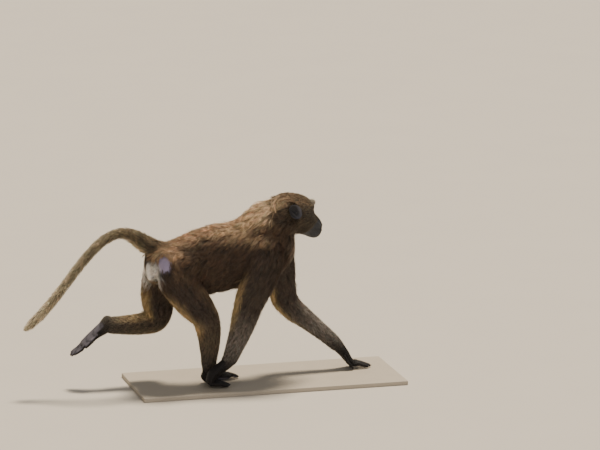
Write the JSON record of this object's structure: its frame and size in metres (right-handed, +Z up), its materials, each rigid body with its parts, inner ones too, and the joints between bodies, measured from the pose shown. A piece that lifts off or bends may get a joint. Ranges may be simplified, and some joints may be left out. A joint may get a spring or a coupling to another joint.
{
  "type": "baboon model",
  "caption": "Still life-size model of a slim red-brown baboon walking with its head turned away and tail arched, on a thin base plate.",
  "frame": {"origin": "middle of the base plate's underside, on the floor", "axes": "+X the way the animal heads, +Y its left side, +Z up"},
  "size_m": [1.2877, 0.36, 0.6454],
  "materials": {
    "coat": "medium-long hair lying along the body",
    "bare_skin": "dark creased skin",
    "eye": "wet and glossy",
    "seat_pad": "horny pale skin",
    "base": "matt paint on board"
  },
  "bodies": {
    "root": {"torso": "coat", "neck": "coat", "head": "coat", "jaw": "coat", "tail_root": "coat", "tail_middle": "coat", "tail_end": "coat", "upper_arm_l": "coat", "upper_arm_r": "coat", "forearm_l": "coat", "forearm_r": "coat", "thigh_l": "coat", "thigh_r": "coat", "shank_l": "coat", "shank_r": "coat", "ear_l": "bare_skin", "ear_r": "bare_skin", "hand_l": "bare_skin", "hand_r": "bare_skin", "foot_l": "bare_skin", "foot_r": "bare_skin", "eye_l": "eye", "eye_r": "eye", "seat_pad_l": "seat_pad", "seat_pad_r": "seat_pad", "stand_base": "base"}
  },
  "joints": []
}
